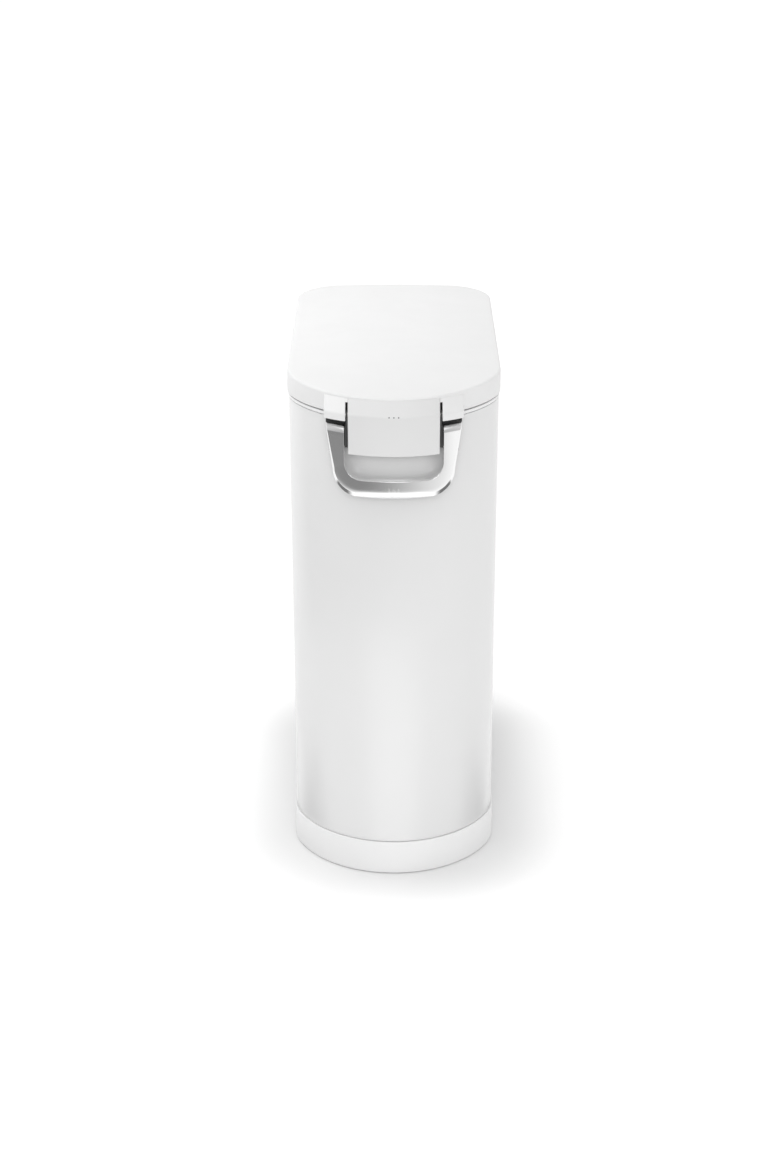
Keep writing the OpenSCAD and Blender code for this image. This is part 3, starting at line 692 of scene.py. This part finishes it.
def bail_ring(station, side):
    """Cross-section of the bail at a station; side is 1 for the right half and -1 for the left."""
    outer_x, outer_z, inner_x, inner_z, front, wide, deep = station
    outer, inner = Vector((outer_x, outer_z)), Vector((inner_x, inner_z))
    width = (outer - inner).length
    lean = (outer - inner) / width
    section = rounded([
        (0, BAIL_BACK, 0.5 * MM), (0, front, 0.35 * MM), (width - wide, front, 0.7 * MM),
        (width, front - deep, 0.6 * MM), (width, BAIL_BACK, 0.5 * MM)], 4)
    ring = []
    for s in section:
        flat = inner + lean * s.x
        ring.append(Vector((side * flat.x, front_at(flat.x, s.y), flat.y)))
    return ring


def build_bail():
    """The chrome U: two tapering arms and a lower bar with a wide chamfer along its outer edge."""
    stations = bail_stations()
    right = [bail_ring(s, 1) for s in stations]
    left = [bail_ring(s, -1) for s in reversed(stations[:-1])]
    piece = skin("bail_skin", right + left, closed=False, caps=True)
    three_holes(piece, 0.7 * MM, BAR_DOTS_Z, BAIL_FACE, 0.35 * MM)
    finish_piece(piece, "bail", "chrome", "bail_handle")
    # Painted highlight: pale plastic plugs in the bar's three holes stand for the glint of its dimples.
    three_painted_plugs("bar_highlight_plugs", "bail", "cover_plastic", 0.65 * MM, BAR_DOTS_Z, BAIL_FACE - 0.25 * MM, 0.3 * MM)


# ---- CAD nodes that keep their own shape ----

def dress_cad_nodes():
    """Each CAD node takes the material of its slot, its flat faces made whole and its sharp edges eased."""
    usual_edge = 0.3 * MM
    edges = {"bare_steel": 0.12 * MM, "black_steel": 0.25 * MM, "hinge_paint": 0.35 * MM}
    for part in frame["record"]["subparts"]:
        node, slot = frame["nodes"][part["node"]], part["material_slot"]
        node.data.materials.clear()
        node.data.materials.append(MATERIALS[slot])
        node.data.polygons.foreach_set("use_smooth", [True] * len(node.data.polygons))
        weld = node.modifiers.new("weld", "WELD")
        weld.merge_threshold = 1e-6
        flatten = node.modifiers.new("flatten", "DECIMATE")
        flatten.decimate_type = "DISSOLVE"
        flatten.angle_limit = math.radians(0.3)
        ease = node.modifiers.new("ease", "BEVEL")
        ease.width = edges.get(slot, usual_edge)
        ease.segments = 2
        ease.limit_method = "ANGLE"
        ease.angle_limit = math.radians(35)
        ease.harden_normals = True


# ---- Studio ----

def from_plinth(tree):
    """Distance of a floor point from the edge of the plinth, taken as a box with round corners."""
    corner = 110 * MM
    middle = Vector((0, (FRONT_Y + REAR_Y) / 2, 0))
    core = Vector((plinth_high.x - corner, (plinth_high.y - plinth_low.y) / 2 - corner, 0))
    place = tree.nodes.new("ShaderNodeTexCoord").outputs["Object"]
    steps = (("SUBTRACT", middle), ("ABSOLUTE", None), ("SUBTRACT", core), ("MAXIMUM", (0, 0, 0)))
    for operation, other in steps:
        step = tree.nodes.new("ShaderNodeVectorMath")
        step.operation = operation
        tree.links.new(place, step.inputs[0])
        if other is not None:
            step.inputs[1].default_value = other
        place = step.outputs["Vector"]
    length = tree.nodes.new("ShaderNodeVectorMath")
    length.operation = "LENGTH"
    tree.links.new(place, length.inputs[0])
    edge = tree.nodes.new("ShaderNodeMath")
    edge.operation = "SUBTRACT"
    edge.inputs[1].default_value = corner
    tree.links.new(length.outputs["Value"], edge.inputs[0])
    return edge.outputs["Value"]


def build_floor():
    """A pale floor that glows a little, and less close to the can: the dimmer glow there is a painted soft
    shadow round the plinth.
    """
    half, grey, drift, drift_scale = 14.0, 0.75, 0.005, 3
    glow_start, glow_end, painted_shadow_glow, bright = -0.01, 0.13, 0.03, 0.33
    bm = bmesh.new()
    corners = [bm.verts.new((sx * half, sy * half, 0)) for sx, sy in ((-1, -1), (1, -1), (1, 1), (-1, 1))]
    bm.faces.new(corners)
    floor = mesh_piece("studio_floor", bm)
    material = surface("studio_floor", (grey, grey, grey), 0.9, Emission_Color=(1, 1, 1, 1))
    tint(material, noise(material, drift_scale), (grey - drift,) * 3, (grey + drift,) * 3)
    tree = material.node_tree
    # Painted shadow: the floor's glow is turned down near the edge of the plinth.
    glow_with_painted_shadow = ramp_between(tree, from_plinth(tree), glow_start, glow_end, painted_shadow_glow, bright)
    tree.links.new(glow_with_painted_shadow, tree.nodes["Principled BSDF"].inputs["Emission Strength"])
    floor.data.materials.append(material)
    floor.visible_glossy = False


def area_light(name, place, target, size, power):
    """A soft rectangular lamp that lights surfaces but shows in no reflection."""
    data = bpy.data.lights.new(name, "AREA")
    data.shape = "RECTANGLE"
    data.size, data.size_y = size
    data.energy = power
    lamp = bpy.data.objects.new(name, data)
    lamp.location = place
    lamp.rotation_mode = "QUATERNION"
    lamp.rotation_quaternion = (Vector(target) - Vector(place)).to_track_quat("-Z", "Y")
    lamp.visible_camera = False
    lamp.visible_glossy = False
    bpy.context.scene.collection.objects.link(lamp)


def build_lights():
    """A wide low sun in front, two lamps over the lid's left, a fill at each side and a low one in front."""
    data = bpy.data.lights.new("sun", "SUN")
    data.energy = 0.68
    data.angle = math.radians(26)
    sun = bpy.data.objects.new("sun", data)
    sun.rotation_mode = "QUATERNION"
    sun_runs = Vector((-0.02, 1, -0.56))
    sun.rotation_quaternion = sun_runs.to_track_quat("-Z", "Y")
    bpy.context.scene.collection.objects.link(sun)
    area_light("overhead", place=(-0.62, 0.1, 1.55), target=(0, 0.02, 0.3), size=(0.7, 0.7), power=4.2)
    area_light("lid_fill", place=(-0.40, 0.12, 1.10), target=(0, 0.02, 0.64), size=(0.5, 0.5), power=0.45)
    area_light("left_fill", place=(-1.3, -1.2, 0.6), target=(0, -0.2, 0.3), size=(0.9, 0.9), power=1.0)
    area_light("right_fill", place=(1.3, -1.2, 0.8), target=(0, -0.2, 0.4), size=(0.9, 0.9), power=1.6)
    area_light("card", place=(0, -0.85, 0.04), target=(0, -0.2, 0.22), size=(0.9, 0.4), power=0.2)


def ramp_between(tree, source, from_min, from_max, to_min=0, to_max=1):
    """A level that goes smoothly from to_min to to_max while source goes from from_min to from_max."""
    spread = tree.nodes.new("ShaderNodeMapRange")
    spread.interpolation_type = "SMOOTHSTEP"
    values = {"From Min": from_min, "From Max": from_max, "To Min": to_min, "To Max": to_max}
    for key, value in values.items():
        spread.inputs[key].default_value = value
    tree.links.new(source, spread.inputs["Value"])
    return spread.outputs["Result"]


def toward(tree, place, direction, narrow, wide):
    """1 near a direction of the sky and 0 away from it; narrow and wide are angles in degrees."""
    dot = tree.nodes.new("ShaderNodeVectorMath")
    dot.operation = "DOT_PRODUCT"
    dot.inputs[1].default_value = Vector(direction).normalized()
    tree.links.new(place, dot.inputs[0])
    edge, core = math.cos(math.radians(wide)), math.cos(math.radians(narrow))
    return ramp_between(tree, dot.outputs["Value"], edge, core)


def compass(tree, place):
    """The compass direction of a direction: its height taken out, and its length made one again."""
    level = tree.nodes.new("ShaderNodeVectorMath")
    level.operation = "MULTIPLY"
    level.inputs[1].default_value = (1, 1, 0)
    tree.links.new(place, level.inputs[0])
    unit = tree.nodes.new("ShaderNodeVectorMath")
    unit.operation = "NORMALIZE"
    tree.links.new(level.outputs["Vector"], unit.inputs[0])
    return unit.outputs["Vector"]


def both(tree, one, two):
    """The product of two levels."""
    product = tree.nodes.new("ShaderNodeMath")
    product.operation = "MULTIPLY"
    tree.links.new(one, product.inputs[0])
    tree.links.new(two, product.inputs[1])
    return product.outputs["Value"]


def rising(tree, source, from_min, from_max, low, high):
    """A level that climbs ever faster from low to high."""
    power = 1.5
    share = tree.nodes.new("ShaderNodeMapRange")
    share.inputs["From Min"].default_value = from_min
    share.inputs["From Max"].default_value = from_max
    tree.links.new(source, share.inputs["Value"])
    curve = tree.nodes.new("ShaderNodeMath")
    curve.operation = "POWER"
    curve.inputs[1].default_value = power
    tree.links.new(share.outputs["Result"], curve.inputs[0])
    return blend_levels(tree, curve.outputs["Value"], low, high)


def blend_levels(tree, share, first, second):
    """Mixes two levels, each a number or a socket, by a 0 to 1 share."""
    mix = tree.nodes.new("ShaderNodeMix")
    mix.data_type = "FLOAT"
    tree.links.new(share, mix.inputs["Factor"])
    for key, level in (("A", first), ("B", second)):
        if isinstance(level, (int, float)):
            mix.inputs[key].default_value = level
        else:
            tree.links.new(level, mix.inputs[key])
    return mix.outputs["Result"]


def sky_level(tree, place, y):
    """The light from above the horizon: dim in front, bright behind and in one zone above the front."""
    front, back, zenith, bright = 0.50, 0.90, 0.62, 1.38
    sky = ramp_between(tree, y, -0.9, 0.3, front, back)
    sky = blend_levels(tree, toward(tree, place, (0, 0, 1), 25, 60), sky, zenith)
    return blend_levels(tree, toward(tree, place, (0, -0.35, 0.93), 15, 38), sky, bright)


def card_level(tree, place, x, y, z):
    """What reflections meet below the horizon: brighter to the right, with two dark patches behind."""
    left, right, near, streak, behind, corner, below = 0.27, 1.06, 1.2, 2.1, 1.1, 0.20, 1.3
    cards = rising(tree, x, -0.5, 0.8, left, right)
    cards = blend_levels(tree, ramp_between(tree, z, -0.36, -0.45), cards, near)
    ahead = toward(tree, compass(tree, place), (0, -1, 0), 14, 38)
    cards = blend_levels(tree, both(tree, ramp_between(tree, z, -0.385, -0.45), ahead), cards, streak)
    cards = blend_levels(tree, ramp_between(tree, y, 0.1, 0.55), cards, behind)
    steep = ramp_between(tree, z, -0.56, -0.64)
    for side in (-1, 1):
        patch = toward(tree, place, (side * 0.57, 0.38, -0.73), 10, 27)
        cards = blend_levels(tree, both(tree, patch, steep), cards, corner)
    return blend_levels(tree, toward(tree, place, (0, 0, -1), 20, 36), cards, below)


def build_world():
    """Soft light from every side. The camera itself sees plain white behind the can."""
    world = bpy.data.worlds.new("studio")
    bpy.context.scene.world = world
    world.use_nodes = True
    tree = world.node_tree
    place = tree.nodes.new("ShaderNodeTexCoord").outputs["Generated"]
    split = tree.nodes.new("ShaderNodeSeparateXYZ")
    tree.links.new(place, split.inputs["Vector"])
    x, y, z = (split.outputs[axis] for axis in "XYZ")
    above = ramp_between(tree, z, -0.2, 0.05)
    level = blend_levels(tree, above, card_level(tree, place, x, y, z), sky_level(tree, place, y))
    seen = tree.nodes.new("ShaderNodeLightPath").outputs["Is Camera Ray"]
    level = blend_levels(tree, seen, level, 1.0)
    tree.links.new(level, tree.nodes["Background"].inputs["Color"])


def build_camera():
    """The main view: a long lens in front of the can, above it and looking down."""
    distance, height, look_down = 2.42914, 1.41650, 0.41118
    data = bpy.data.cameras.new("camera")
    data.sensor_width = 36
    data.lens = 64.33
    data.shift_x = -0.00332
    data.clip_start, data.clip_end = 0.05, 60
    camera = bpy.data.objects.new("camera", data)
    camera.location = (0, SIDE_Y - distance, height)
    camera.rotation_euler = (math.pi / 2 - look_down, 0, 0)
    bpy.context.scene.collection.objects.link(camera)
    bpy.context.scene.camera = camera


dress_cad_nodes()
build_body()
build_collar()
build_plinth()
build_lid()
build_liner()
build_cover()
build_bail()
build_floor()
build_lights()
build_world()
build_camera()
bpy.context.scene.view_settings.view_transform = "Standard"
